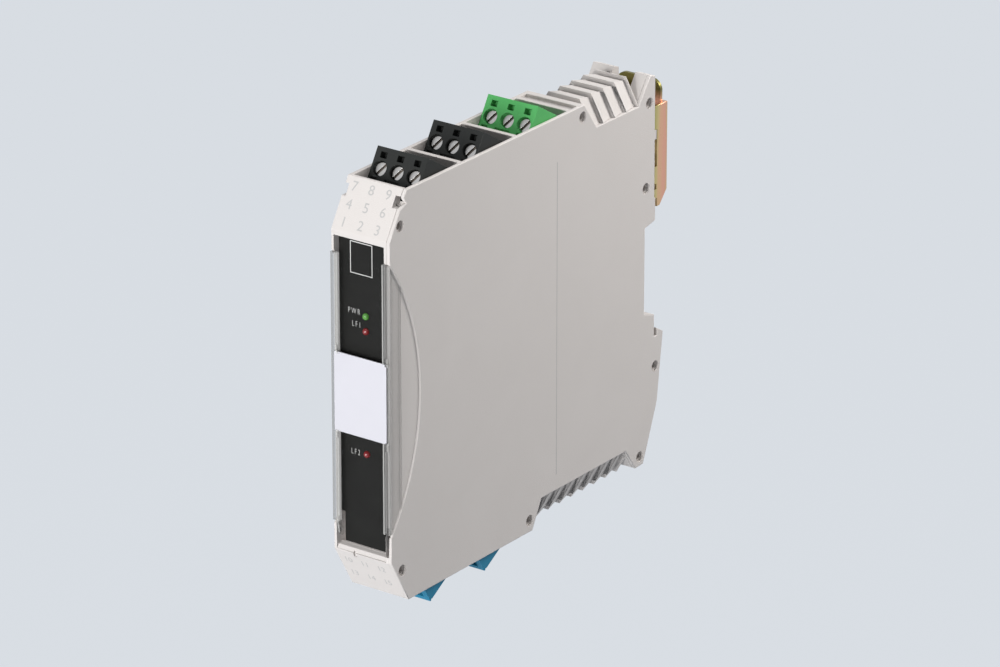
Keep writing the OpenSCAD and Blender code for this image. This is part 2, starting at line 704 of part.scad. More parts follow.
module contacts(top, k) {
    inner = pin_w / 2 + 0.08;
    color(NICKEL)
        at_plug(top, k)
            for (n = [1 : poles])
                difference() {
                    contact_form(n, 0);
                    box([pole_x(n) - inner, PIN_V - inner, -plug_h - 1],
                        [pole_x(n) + inner, PIN_V + inner, SLEEVE_TOP - 0.8]);
                }
}

module plug(top, k, tint) {
    color(tint)
        at_plug(top, k)
            difference() {
                slab(-PLUG_W / 2, PLUG_W / 2, [[0, 0], BACK_TIP, [BACK_TIP[0], -plug_h], [FACE_END[0], -plug_h], FACE_END]);
                for (n = [1 : poles]) {
                    at_screw(n) {
                        translate([0, 0, -3])
                            cylinder(d = head_d + 0.6, h = SHOULDER_P + 3);
                        cylinder(d = thread_d + 0.1, h = CHAMBER_P + 1);
                    }
                    block_box(pole_x(n), CHAMBER_W / 2, CHAMBER_P, CHAMBER_END_P, -CHAMBER_Q, -2);
                    block_box(pole_x(n), 1.6, CHAMBER_END_P - 3.4, CHAMBER_END_P - 0.3, -3, 2);
                    block_box(pole_x(n), 0.95, -1, CHAMBER_P - 0.6, TEST_Q - 0.8, TEST_Q + 0.75);
                    contact_form(n, 0.1);
                    box([pole_x(n) - 0.7, PIN_V - 0.7, -plug_h - 1], [pole_x(n) + 0.7, PIN_V + 0.7, SLEEVE_TOP - 1]);
                }
                box([-4, 0.35, -0.55], [PLUG_W, 3, 1]);
                block_box(-6, 0.9, -1, 0.7, -12.4, -7.7);
                block_box(-0.6, 2.2, -1, 0.7, -12.4, -7.7);
                block_box(5.2, 1.4, -1, 0.7, -12.4, -7.7);
            }
}

module screw(top, k, n) {
    color(NICKEL)
        at_plug(top, k)
            at_screw(n)
                difference() {
                    union() {
                        translate([0, 0, HEAD_P])
                            cylinder(d = head_d, h = HEAD_T);
                        cylinder(d = thread_d, h = SCREW_END_P);
                    }
                    translate([0, 0, HEAD_P - 1.4])
                        rotate([0, 0, 35])
                            cube([0.7, head_d + 1, 4], center = true);
                    translate([0, 0, -1])
                        cylinder(d = head_d + 1, h = HEAD_P + 1);
                }
}

module clamp(top, k, n) {
    color(STEEL)
        at_plug(top, k)
            difference() {
                block_box(pole_x(n), CLAMP_W / 2, CLAMP_P, CLAMP_P + CLAMP_L, SCREW_Q - 2.5, SCREW_Q + 2.3);
                block_box(pole_x(n), CLAMP_W / 2 - CLAMP_T, CLAMP_P + CLAMP_T, CLAMP_P + CLAMP_L - CLAMP_T,
                    SCREW_Q - 4, SCREW_Q + 4);
                at_screw(n)
                    cylinder(d = thread_d + 0.1, h = CLAMP_P + CLAMP_T + 1);
            }
}

// Latch

module latch_flange(side) {
    x0 = side < 0 ? -LATCH_HALF : LATCH_HALF - sheet_t;
    slot_z = GUIDE_TOP - 14.3;
    difference() {
        slab(x0, x0 + sheet_t, [
            [0.1, LATCH_TOP], [channel_d, LATCH_TOP], [channel_d, NOSE_Z + 3.6], [2.4, NOSE_Z],
            [rail_t + rail_play, NOSE_Z], [rail_t + rail_play, NOSE_Z + 2.3], [0.1, NOSE_Z + 2.3]
        ]);
        box([x0 - 1, -1, slot_z], [x0 + 2, 1.05, slot_z + 10]);
        box([x0 - 1, -1, TONGUE_Z + 0.3], [x0 + 2, 0.9, TONGUE_Z + 1.8]);
    }
    rod_x(side < 0 ? -LATCH_HALF + sheet_t - 0.1 : LATCH_HALF - sheet_t - 0.9,
        side < 0 ? -LATCH_HALF + sheet_t + 0.9 : LATCH_HALF - sheet_t + 0.1, STUD_Y, GUIDE_TOP - 12, STUD_D);
    rod_x(side < 0 ? -LATCH_HALF + sheet_t - 0.1 : LATCH_HALF - sheet_t - 0.9,
        side < 0 ? -LATCH_HALF + sheet_t + 0.9 : LATCH_HALF - sheet_t + 0.1, STUD_Y, GUIDE_TOP - 8, STUD_D);
}

module rail_latch() {
    tab_half = LATCH_HALF - 1.6;
    tab_r = 3;
    tab_top = LATCH_TOP + 5.4;
    color([0.78, 0.62, 0.3]) {
        box([-LATCH_HALF, CHANNEL_IN, NOSE_Z + 3.6], [LATCH_HALF, channel_d, LATCH_TOP]);
        translate([0, channel_d, 0])
            rotate([90, 0, 0])
                linear_extrude(height = sheet_t) {
                    translate([-tab_half, LATCH_TOP - 0.1])
                        square([2 * tab_half, tab_top - tab_r - LATCH_TOP + 0.1]);
                    translate([-tab_half + tab_r, LATCH_TOP])
                        square([2 * (tab_half - tab_r), tab_top - LATCH_TOP]);
                    for (side = [-1, 1])
                        translate([side * (tab_half - tab_r), tab_top - tab_r])
                            circle(r = tab_r);
                }
        box([-2.2, 0.4, TONGUE_Z], [2.2, CHANNEL_IN + 0.1, TONGUE_Z + sheet_t]);
        latch_flange(-1);
        latch_flange(1);
    }
}

// A coil, as a tube swept along a helix with flat ends
function ring(centre, tangent, r, sides) =
    let (u = cross(tangent, [0, 0, 1]) / norm(cross(tangent, [0, 0, 1])), w = cross(u, tangent))
    [for (i = [0 : sides - 1]) centre + r * (cos(i * 360 / sides) * u + sin(i * 360 / sides) * w)];

module coil(mean_r, wire_r, turns, height) {
    sides = 8;
    steps = ceil(turns * 14);
    rise = height / (turns * 360);
    rings = [for (s = [0 : steps])
        let (a = s * turns * 360 / steps)
        each ring([mean_r * cos(a), mean_r * sin(a), a * rise],
            unit([-mean_r * sin(a), mean_r * cos(a), rise * 180 / PI]), wire_r, sides)];
    walls = [for (s = [0 : steps - 1], i = [0 : sides - 1])
        [s * sides + i, s * sides + (i + 1) % sides, (s + 1) * sides + (i + 1) % sides, (s + 1) * sides + i]];
    first = [for (i = [sides - 1 : -1 : 0]) i];
    last = [for (i = [0 : sides - 1]) steps * sides + i];
    polyhedron(points = rings, faces = concat(walls, [first, last]), convexity = 10);
}
function unit(v) = v / norm(v);

module latch_spring() {
    low = TONGUE_Z + sheet_t + spring_wire / 2 + 0.05;
    color(STEEL)
        translate([0, SPRING_Y, low])
            coil((spring_d - spring_wire) / 2, spring_wire / 2, spring_turns, GUIDE_Z - spring_wire / 2 - 0.05 - low);
}

housing_tub();
side_cover();
front_cover();
front_panel();
marker_plate();
light(LIGHT_Z[0], [0.6, 0.85, 0.5]);  // power_light
light(LIGHT_Z[1], [0.7, 0.2, 0.2]);  // fault_light_1
light(LIGHT_Z[2], [0.7, 0.2, 0.2]);  // fault_light_2
circuit_board();
transformer_core();
transformer_winding();
capacitors();
rail_latch();
latch_spring();
header_pins();
for (k = [1 : 5]) {
    top = k <= 3;
    number = top ? k : k - 3;
    row = top ? "top" : "bottom";
    header(top, number, PLUG_COLOURS[k - 1]);
    plug(top, number, PLUG_COLOURS[k - 1]);
    contacts(top, number);
    for (n = [1 : poles]) {
        screw(top, number, n);
        clamp(top, number, n);
    }
}
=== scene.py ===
import math

import bpy
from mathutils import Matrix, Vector


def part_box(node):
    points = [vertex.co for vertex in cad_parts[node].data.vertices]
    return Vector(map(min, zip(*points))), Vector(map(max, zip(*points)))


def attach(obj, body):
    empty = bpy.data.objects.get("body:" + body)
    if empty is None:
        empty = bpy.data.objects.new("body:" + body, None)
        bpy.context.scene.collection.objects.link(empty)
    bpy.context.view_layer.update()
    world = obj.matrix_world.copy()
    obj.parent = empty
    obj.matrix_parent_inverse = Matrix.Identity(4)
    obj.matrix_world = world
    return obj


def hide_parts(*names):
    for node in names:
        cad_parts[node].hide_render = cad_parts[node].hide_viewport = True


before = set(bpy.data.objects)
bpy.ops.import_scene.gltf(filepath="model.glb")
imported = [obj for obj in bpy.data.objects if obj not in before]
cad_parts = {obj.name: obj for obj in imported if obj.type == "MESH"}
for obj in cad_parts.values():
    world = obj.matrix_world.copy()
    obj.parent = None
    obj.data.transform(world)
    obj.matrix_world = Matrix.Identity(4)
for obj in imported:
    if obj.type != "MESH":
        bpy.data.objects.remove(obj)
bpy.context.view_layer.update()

bpy.context.scene.view_settings.view_transform = "Standard"

# Camera
# It looks from the front right and from above, along the line that shows the printed front, the
# plugs and the right wall at once. A long lens keeps the case's edges nearly parallel.
bpy.ops.object.camera_add(location=(0.8462, -1.21298, 0.58128))
camera = bpy.context.object
camera.name = "catalogue_camera"
case_centre = Vector((0.0003, -0.05519, -0.00082))
camera.rotation_mode = "QUATERNION"
camera.rotation_quaternion = (case_centre - camera.location).to_track_quat("-Z", "Y")
camera.data.sensor_width = 36
camera.data.lens = 223.96
camera.data.clip_start = 0.1
camera.data.clip_end = 30
bpy.context.scene.camera = camera

# Housing tub
# The injection-moulded half that carries everything: left wall, terminal bays, louvres, rail hook
# and latch guide. Light grey polyamide with a fine eroded grain, and edges eased by the mould.
def moulded_surface():
    group = bpy.data.node_groups.new("moulded_surface", "ShaderNodeTree")
    for name, kind, way in (("Position", "NodeSocketVector", "INPUT"), ("Grains per Metre", "NodeSocketFloat", "INPUT"),
                            ("Flow per Metre", "NodeSocketFloat", "INPUT"), ("Grain", "NodeSocketFloat", "OUTPUT"),
                            ("Flow", "NodeSocketFloat", "OUTPUT"), ("Pits", "NodeSocketFloat", "OUTPUT")):
        group.interface.new_socket(name=name, in_out=way, socket_type=kind)
    node, link = group.nodes.new, group.links.new
    entry, leave = node("NodeGroupInput"), node("NodeGroupOutput")
    grain = node("ShaderNodeTexNoise")
    grain.inputs["Detail"].default_value = 3
    grain.inputs["Roughness"].default_value = 0.6
    flow = node("ShaderNodeTexNoise")
    flow.inputs["Detail"].default_value = 2
    flow.inputs["Distortion"].default_value = 0.6
    pits = node("ShaderNodeTexVoronoi")
    edge = node("ShaderNodeMapRange")
    edge.inputs["From Min"].default_value = 0.0
    edge.inputs["From Max"].default_value = 0.35
    link(entry.outputs["Position"], grain.inputs["Vector"])
    link(entry.outputs["Position"], flow.inputs["Vector"])
    link(entry.outputs["Position"], pits.inputs["Vector"])
    link(entry.outputs["Grains per Metre"], grain.inputs["Scale"])
    link(entry.outputs["Grains per Metre"], pits.inputs["Scale"])
    link(entry.outputs["Flow per Metre"], flow.inputs["Scale"])
    link(grain.outputs["Fac"], leave.inputs["Grain"])
    link(flow.outputs["Fac"], leave.inputs["Flow"])
    link(pits.outputs["Distance"], edge.inputs["Value"])
    link(edge.outputs["Result"], leave.inputs["Pits"])
    return group


moulding = moulded_surface()


def moulded_plastic(name, deep, pale, dull, shiny, grains=2600, relief=0.00003, flow=45, mirror=0.5):
    material = bpy.data.materials.new(name)
    material.use_nodes = True
    tree = material.node_tree
    node, link = tree.nodes.new, tree.links.new
    shader = tree.nodes["Principled BSDF"]
    shader.inputs["Specular IOR Level"].default_value = mirror
    place = node("ShaderNodeTexCoord")
    surface = node("ShaderNodeGroup")
    surface.node_tree = moulding
    surface.inputs["Grains per Metre"].default_value = grains
    surface.inputs["Flow per Metre"].default_value = flow
    tint = node("ShaderNodeMix")
    tint.data_type = "RGBA"
    tint.inputs["A"].default_value = (*deep, 1)
    tint.inputs["B"].default_value = (*pale, 1)
    gloss = node("ShaderNodeMapRange")
    gloss.inputs["From Min"].default_value = 0.3
    gloss.inputs["From Max"].default_value = 0.7
    gloss.inputs["To Min"].default_value = dull
    gloss.inputs["To Max"].default_value = shiny
    height = node("ShaderNodeMath")
    height.operation = "ADD"
    bump = node("ShaderNodeBump")
    bump.inputs["Strength"].default_value = 0.8
    bump.inputs["Distance"].default_value = relief
    link(place.outputs["Object"], surface.inputs["Position"])
    link(surface.outputs["Flow"], tint.inputs["Factor"])
    link(tint.outputs["Result"], shader.inputs["Base Color"])
    link(surface.outputs["Flow"], gloss.inputs["Value"])
    link(gloss.outputs["Result"], shader.inputs["Roughness"])
    link(surface.outputs["Grain"], height.inputs[0])
    link(surface.outputs["Pits"], height.inputs[1])
    link(height.outputs["Value"], bump.inputs["Height"])
    link(bump.outputs["Normal"], shader.inputs["Normal"])
    return material


def paint(piece, material):
    piece.data.materials.clear()
    piece.data.materials.append(material)


def select_only(piece):
    if bpy.context.object and bpy.context.object.mode != "OBJECT":
        bpy.ops.object.mode_set(mode="OBJECT")
    bpy.ops.object.select_all(action="DESELECT")
    piece.select_set(True)
    bpy.context.view_layer.objects.active = piece


def eased_copy(node, name, width, shortest, turn=25):
    """The CAD piece with its long sharp edges rounded, and less where a face or its corner is small."""
    piece = bpy.data.objects.new(name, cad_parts[node].data.copy())
    bpy.context.scene.collection.objects.link(piece)
    select_only(piece)
    bpy.ops.object.mode_set(mode="EDIT")
    bpy.ops.mesh.select_all(action="SELECT")
    bpy.ops.mesh.remove_doubles(threshold=0.000002)
    bpy.ops.mesh.dissolve_limited(angle_limit=math.radians(0.6))
    bpy.ops.mesh.select_all(action="DESELECT")
    bpy.ops.mesh.select_mode(type="EDGE")
    bpy.ops.mesh.edges_select_sharp(sharpness=math.radians(turn))
    bpy.ops.object.mode_set(mode="OBJECT")
    bpy.ops.object.shade_smooth_by_angle(angle=math.radians(turn))
    mesh = piece.data
    length = {edge.key: (mesh.vertices[edge.key[0]].co - mesh.vertices[edge.key[1]].co).length for edge in mesh.edges}
    room = {}
    for ends, long in length.items():
        for corner in ends:
            room[corner] = min(room.get(corner, long), long)
    pinched = set()
    for face in mesh.polygons:
        corners = list(face.vertices)
        for before, corner, after in zip(corners[-1:] + corners, corners, corners[1:] + corners[:1]):
            here = mesh.vertices[corner].co
            if (mesh.vertices[before].co - here).angle(mesh.vertices[after].co - here, 0) < math.radians(8):
                pinched.update((before, corner, after))
    breadth = {}
    for face in mesh.polygons:
        slim = face.area / max(length[ends] for ends in face.edge_keys)
        for ends in face.edge_keys:
            breadth[ends] = min(breadth.get(ends, slim), slim)
    weight = mesh.attributes.new(name="bevel_weight_edge", type="FLOAT", domain="EDGE")
    for edge in mesh.edges:
        if edge.select and length[edge.key] > shortest and not pinched.intersection(edge.key):
            least = min(breadth[edge.key], *(room[corner] for corner in edge.key))
            weight.data[edge.index].value = min(1.0, 0.4 * least / width)
    rounding = piece.modifiers.new("eased_edges", "BEVEL")
    rounding.limit_method = "WEIGHT"
    rounding.width = width
    rounding.segments = 2
    rounding.use_clamp_overlap = False
    rounding.harden_normals = True
    shading = piece.modifiers.new("flat_faces_stay_flat", "WEIGHTED_NORMAL")
    shading.mode = "FACE_AREA"
    shading.weight = 100
    shading.keep_sharp = True
    bpy.ops.object.modifier_apply(modifier="eased_edges")
    bpy.ops.object.modifier_apply(modifier="flat_faces_stay_flat")
    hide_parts(node)
    return piece


light_grey = moulded_plastic("light_grey_polyamide", (0.53, 0.501, 0.483), (0.56, 0.529, 0.51), 0.55, 0.46)
tub = eased_copy("housing_tub", "tub_moulding", 0.00012, 0.0009)
paint(tub, light_grey)
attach(tub, "case")

# Side cover
# The flat right wall, moulded apart and pressed onto eight pegs of the tub. It has the same grey
# and grain, a shallow rounded recess for the clear cover, and carries the printed line.
side = eased_copy("side_cover", "side_wall", 0.00025, 0.0012)
paint(side, light_grey)
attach(side, "case")

# Circuit board and its parts
# A glass-fibre board with green solder resist stands beside the left wall. It carries a small
# transformer, four standing capacitors and a few packages, which only show through open bays.
board_green = moulded_plastic("solder_resist", (0.02, 0.12, 0.05), (0.03, 0.17, 0.07), 0.4, 0.28, 1500, 0.00001, 300)
ferrite = moulded_plastic("ferrite", (0.03, 0.03, 0.033), (0.05, 0.05, 0.055), 0.6, 0.5, 3000, 0.00002, 400)
coil_tape = moulded_plastic("coil_tape", (0.55, 0.38, 0.05), (0.68, 0.5, 0.1), 0.4, 0.3, 900, 0.00003, 200)
sleeve_blue = moulded_plastic("shrink_sleeve", (0.02, 0.03, 0.09), (0.03, 0.045, 0.13), 0.3, 0.2, 600, 0.00001, 150)
for node, material in (("circuit_board", board_green), ("transformer_core", ferrite),
                       ("transformer_winding", coil_tape), ("capacitors", sleeve_blue)):
    paint(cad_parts[node], material)

# Pins, contacts, screws and clamps
# Tinned copper pins and contacts, and plated steel screws and clamps: drawn or turned metal with
# fine lines along it, brighter on the screw heads where the driver has polished them.
def drawn_metal(name, deep, pale, dull, shiny, lines=(9000, 9000, 700)):
    material = bpy.data.materials.new(name)
    material.use_nodes = True
    tree = material.node_tree
    node, link = tree.nodes.new, tree.links.new
    shader = tree.nodes["Principled BSDF"]
    shader.inputs["Metallic"].default_value = 1.0
    place = node("ShaderNodeTexCoord")
    stretch = node("ShaderNodeMapping")
    stretch.inputs["Scale"].default_value = lines
    streak = node("ShaderNodeTexNoise")
    streak.inputs["Scale"].default_value = 1.0
    streak.inputs["Detail"].default_value = 4
    tint = node("ShaderNodeMix")
    tint.data_type = "RGBA"
    tint.inputs["A"].default_value = (*deep, 1)
    tint.inputs["B"].default_value = (*pale, 1)
    gloss = node("ShaderNodeMapRange")
    gloss.inputs["To Min"].default_value = dull
    gloss.inputs["To Max"].default_value = shiny
    bump = node("ShaderNodeBump")
    bump.inputs["Strength"].default_value = 0.5
    bump.inputs["Distance"].default_value = 0.00001
    link(place.outputs["Object"], stretch.inputs["Vector"])
    link(stretch.outputs["Vector"], streak.inputs["Vector"])
    link(streak.outputs["Fac"], tint.inputs["Factor"])
    link(tint.outputs["Result"], shader.inputs["Base Color"])
    link(streak.outputs["Fac"], gloss.inputs["Value"])
    link(gloss.outputs["Result"], shader.inputs["Roughness"])
    link(streak.outputs["Fac"], bump.inputs["Height"])
    link(bump.outputs["Normal"], shader.inputs["Normal"])
    return material


tinned = drawn_metal("tinned_copper", (0.55, 0.54, 0.52), (0.75, 0.74, 0.71), 0.4, 0.25)
plated = drawn_metal("plated_screw", (0.46, 0.44, 0.42), (0.70, 0.67, 0.64), 0.45, 0.28, (5000, 1200, 5000))
sheet_steel = drawn_metal("clamp_steel", (0.4, 0.4, 0.4), (0.6, 0.6, 0.6), 0.45, 0.3)
spring_steel = drawn_metal("spring_wire", (0.3, 0.3, 0.31), (0.5, 0.5, 0.51), 0.4, 0.25)
paint(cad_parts["header_pins"], tinned)
paint(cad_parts["latch_spring"], spring_steel)
# The slot's walls and floor get a dark, dull metal: painted shade inside the narrow slot.
slot_painted_shade = drawn_metal("screw_slot_painted_shade", (0.13, 0.115, 0.10), (0.24, 0.21, 0.185), 0.65, 0.5, (5000, 1200, 5000))
face_lean = math.radians(31)


def slotted_screw(row, bay, pole):
    """The CAD screw with an eased rim, and the walls and floor of its slot duller and painted dark as shade."""
    node = f"{row}_screw_{bay}_{pole}"
    screw = eased_copy(node, f"{row}_slotted_screw_{bay}_{pole}", 0.00005, 0.00015, 35)
    outward = Vector((0, -math.cos(face_lean), math.sin(face_lean) * (1 if row == "top" else -1)))
    low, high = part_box(node)
    middle = (low + high) / 2
    head_face = max(vertex.co.dot(outward) for vertex in screw.data.vertices)
    paint(screw, plated)
    screw.data.materials.append(slot_painted_shade)
    for face in screw.data.polygons:
        depth = head_face - face.center.dot(outward)
        from_middle = face.center - middle
        off_axis = (from_middle - outward * from_middle.dot(outward)).length
        # Faces a little below the head face and near the axis are the slot's walls and floor: they take the painted
        # shade.
        if 0.00012 < depth < 0.0008 and off_axis < 0.001:
            face.material_index = 1
    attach(screw, f"{node}_body")


terminal_rows = (("top", 1), ("top", 2), ("top", 3), ("bottom", 1), ("bottom", 2))
for row, bay in terminal_rows:
    paint(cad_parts[f"{row}_contacts_{bay}"], tinned)
    for pole in (1, 2, 3):
        paint(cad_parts[f"{row}_clamp_{bay}_{pole}"], sheet_steel)
        slotted_screw(row, bay, pole)

# Plugs and headers
# Each plug is a three-pole block with a tilted screw face, pushed onto its header. Two black ones
# and a green one stand above, two blue ones below; glass-filled polyamide with a satin skin.
black_body = moulded_plastic("black_polyamide", (0.009, 0.010, 0.009), (0.015, 0.016, 0.015), 0.62, 0.5, 3200, 0.00002, 90, 0.25)
green_body = moulded_plastic("green_polyamide", (0.06, 0.325, 0.085), (0.082, 0.375, 0.112), 0.6, 0.48, 3200, 0.00002, 90, 0.3)
blue_body = moulded_plastic("blue_polyamide", (0.010, 0.15, 0.26), (0.016, 0.195, 0.325), 0.6, 0.48, 3200, 0.00002, 90, 0.3)
plug_colours = {("top", 1): ("black_plug", black_body), ("top", 2): ("black_plug", black_body),
                ("top", 3): ("green_plug", green_body), ("bottom", 1): ("blue_plug", blue_body),
                ("bottom", 2): ("blue_plug", blue_body)}
for row, bay in terminal_rows:
    slot_name, material = plug_colours[row, bay]
    block = eased_copy(f"{row}_plug_{bay}", f"{row}_plug_block_{bay}", 0.0001, 0.001)
    paint(block, material)
    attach(block, f"plug_{row}_{bay}")
    paint(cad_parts[f"{row}_header_{bay}"], material)

# Front panel and signal lights
# A black printed film lies in the front's recess. One green and two red lights look through it,
# each with a plain white caption beside it, and a bare square frame stands above them.
panel_black = moulded_plastic("black_film", (0.006, 0.006, 0.0055), (0.009, 0.009, 0.008), 0.7, 0.6, 1800, 0.00001, 120, 0.15)
paint(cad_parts["front_panel"], panel_black)
print_white = moulded_plastic("white_print", (0.5, 0.5, 0.49), (0.62, 0.62, 0.6), 0.6, 0.5, 4000, 0.00001, 300)


def lens(name, colour, glow):
    material = bpy.data.materials.new(name)
    material.use_nodes = True
    tree = material.node_tree
    node, link = tree.nodes.new, tree.links.new
    shader = tree.nodes["Principled BSDF"]
    place = node("ShaderNodeTexCoord")
    haze = node("ShaderNodeTexNoise")
    haze.inputs["Scale"].default_value = 1200
    tint = node("ShaderNodeMix")
    tint.data_type = "RGBA"
    tint.inputs["A"].default_value = (*colour, 1)
    tint.inputs["B"].default_value = (*[min(1, c * 1.35 + 0.01) for c in colour], 1)
    shader.inputs["Roughness"].default_value = 0.12
    # The emission is a faint painted glow: the lights are not lit, and it stands in for the bright core that light
    # gives each lens.
    shader.inputs["Emission Color"].default_value = (*colour, 1)
    shader.inputs["Emission Strength"].default_value = glow
    link(place.outputs["Object"], haze.inputs["Vector"])
    link(haze.outputs["Fac"], tint.inputs["Factor"])
    link(tint.outputs["Result"], shader.inputs["Base Color"])
    return material


green_lens_painted_glow = lens("green_lens_painted_glow", (0.06, 0.2, 0.03), 0.06)
red_lens_painted_glow = lens("red_lens_painted_glow", (0.16, 0.011, 0.012), 0.04)
for node, material in (("power_light", green_lens_painted_glow), ("fault_light_1", red_lens_painted_glow), ("fault_light_2", red_lens_painted_glow)):
    paint(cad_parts[node], material)
    select_only(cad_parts[node])
    bpy.ops.object.shade_smooth_by_angle(angle=math.radians(40))


def lettering(words, name, size, place, turn, narrow=1.0, thinner=0.0, thickness=0.00004):
    """Printed characters, as a thin raised mesh: turn is the tilt about X from lying flat."""
    bpy.ops.object.select_all(action="DESELECT")
    bpy.ops.object.text_add(location=(0, 0, 0))
    text = bpy.context.object
    text.name = name
    text.data.body = words
    text.data.size = size
    text.data.align_x = "CENTER"
    text.data.align_y = "CENTER"
    text.data.extrude = thickness / 2
    text.data.offset = -thinner
    text.data.space_character = 1 / narrow
    text.scale.x = narrow
    text.data.resolution_u = 4
    text.rotation_euler = (turn, 0, 0)
    text.location = place
    bpy.ops.object.convert(target="MESH")
    bpy.ops.object.transform_apply(location=True, rotation=True, scale=True)
    return bpy.context.object


def join_as(pieces, name):
    bpy.ops.object.select_all(action="DESELECT")
    for piece in pieces:
        piece.select_set(True)
    bpy.context.view_layer.objects.active = pieces[0]
    bpy.ops.object.join()
    whole = bpy.context.object
    whole.name = name
    return whole


panel_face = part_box("front_panel")[0].y
captions = [lettering(words, f"caption_{words}", 0.0021, (x, panel_face, z), math.pi / 2, 0.68, 0.00004)
            for words, x, z in (("PWR", -0.0036, 0.0219), ("LF1", -0.0029, 0.0186), ("LF2", -0.0035, -0.0150))]
bpy.ops.object.select_all(action="DESELECT")
bpy.ops.mesh.primitive_plane_add(size=1, location=(-0.0013, panel_face, 0.0359), rotation=(math.pi / 2, 0, 0))
square = bpy.context.object
square.scale = (0.0067, 0.0083, 1)
bpy.ops.object.transform_apply(location=True, rotation=True, scale=True)
bpy.ops.object.mode_set(mode="EDIT")
bpy.ops.mesh.select_all(action="SELECT")
bpy.ops.mesh.inset(thickness=0.0002, depth=0)
bpy.ops.mesh.delete(type="FACE")
bpy.ops.mesh.select_all(action="SELECT")
bpy.ops.mesh.extrude_region_move(TRANSFORM_OT_translate={"value": (0, -0.00002, 0)})
bpy.ops.object.mode_set(mode="OBJECT")
front_print = join_as(captions + [square], "front_print")
paint(front_print, print_white)
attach(front_print, "case")

# Clear cover and marking plate
# The front cover is clear polycarbonate, hinged at its lower end. A white marking plate is
# clipped into its middle, with a narrow bright edge all round.
# The cover's colour and opacity carry narrow bands of painted highlight and painted shade across its width and along
# its flanks, where its clear edges catch and lose light.
def painted_light_bands(ramp, bands):
    """Each band's place along the ramp, its painted grey, and how much it covers what is behind; the bands paint
    highlights and shade onto the clear cover.
    """
    stops = ramp.color_ramp.elements
    for at, grey, cover in bands[1:-1]:
        stops.new(at)
    for stop, (at, grey, cover) in zip(stops, bands):
        stop.position = at
        stop.color = (grey, grey * 0.99, grey * 0.96, cover)


def clear_polycarbonate_with_painted_light():
    material = bpy.data.materials.new("clear_polycarbonate_with_painted_light")
    material.use_nodes = True
    tree = material.node_tree
    node, link = tree.nodes.new, tree.links.new
    shader = tree.nodes["Principled BSDF"]
    low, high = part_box("front_cover")
    plate_front = low.y + 0.00045
    place = node("ShaderNodeTexCoord")
    parts = node("ShaderNodeSeparateXYZ")
    haze = node("ShaderNodeTexNoise")
    haze.inputs["Scale"].default_value = 160
    haze.inputs["Detail"].default_value = 3
    gloss = node("ShaderNodeMapRange")
    gloss.inputs["To Min"].default_value = 0.03
    gloss.inputs["To Max"].default_value = 0.09
    across = node("ShaderNodeMapRange")
    across.inputs["From Min"].default_value = low.x
    across.inputs["From Max"].default_value = high.x
    window_painted_light = node("ShaderNodeValToRGB")
    # Across the width: painted shade at both edges (greys 0.16, 0.08), painted highlight lines (0.8, 0.85, 0.6), and
    # the clear window between.
    painted_light_bands(window_painted_light, ((0, 0.16, 0.42), (0.055, 0.16, 0.42), (0.07, 0.8, 0.3), (0.11, 0.8, 0.3),
                          (0.13, 0.05, 0.012), (0.874, 0.05, 0.012), (0.884, 0.85, 0.4), (0.894, 0.85, 0.4),
                          (0.91, 0.08, 0.42), (0.96, 0.08, 0.42), (0.978, 0.6, 0.3), (1, 0.6, 0.3)))
    back = node("ShaderNodeMapRange")
    back.inputs["From Min"].default_value = plate_front
    back.inputs["From Max"].default_value = plate_front + 0.0048
    flank_painted_light = node("ShaderNodeValToRGB")
    # Through the flanks, front to back: a painted highlight (greys 0.6, 0.5), then painted shade (0.2, 0.35, 0.1).
    painted_light_bands(flank_painted_light, ((0, 0.6, 0.3), (0.15, 0.5, 0.28), (0.2, 0.2, 0.2), (0.5, 0.35, 0.1),
                         (0.91, 0.35, 0.1), (0.95, 0.1, 0.24), (1, 0.1, 0.24)))
    outside = node("ShaderNodeMath")
    outside.operation = "ABSOLUTE"
    on_flank = node("ShaderNodeMath")
    on_flank.operation = "GREATER_THAN"
    on_flank.inputs[1].default_value = high.x - 0.00004
    behind = node("ShaderNodeMath")
    behind.operation = "GREATER_THAN"
    behind.inputs[1].default_value = plate_front + 0.00085
    either = node("ShaderNodeMath")
    either.operation = "MAXIMUM"
    colour = node("ShaderNodeMix")
    colour.data_type = "RGBA"
    cover = node("ShaderNodeMix")
    link(place.outputs["Object"], haze.inputs["Vector"])
    link(haze.outputs["Fac"], gloss.inputs["Value"])
    link(gloss.outputs["Result"], shader.inputs["Roughness"])
    link(place.outputs["Object"], parts.inputs["Vector"])
    link(parts.outputs["X"], across.inputs["Value"])
    link(parts.outputs["X"], outside.inputs[0])
    link(parts.outputs["Y"], back.inputs["Value"])
    link(parts.outputs["Y"], behind.inputs[0])
    link(outside.outputs["Value"], on_flank.inputs[0])
    link(on_flank.outputs["Value"], either.inputs[0])
    link(behind.outputs["Value"], either.inputs[1])
    link(across.outputs["Result"], window_painted_light.inputs["Fac"])
    link(back.outputs["Result"], flank_painted_light.inputs["Fac"])
    link(either.outputs["Value"], colour.inputs["Factor"])
    link(window_painted_light.outputs["Color"], colour.inputs["A"])
    link(flank_painted_light.outputs["Color"], colour.inputs["B"])
    link(either.outputs["Value"], cover.inputs["Factor"])
    link(window_painted_light.outputs["Alpha"], cover.inputs["A"])
    link(flank_painted_light.outputs["Alpha"], cover.inputs["B"])
    link(colour.outputs["Result"], shader.inputs["Base Color"])
    link(cover.outputs["Result"], shader.inputs["Alpha"])
    return material


paint(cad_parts["front_cover"], clear_polycarbonate_with_painted_light())
plate_white = moulded_plastic("marking_white", (0.50, 0.495, 0.535), (0.53, 0.525, 0.565), 0.45, 0.35, 2200, 0.00001, 100)
plate = eased_copy("marker_plate", "marking_plate", 0.00012, 0.001)
paint(plate, plate_white)
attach(plate, "cover")

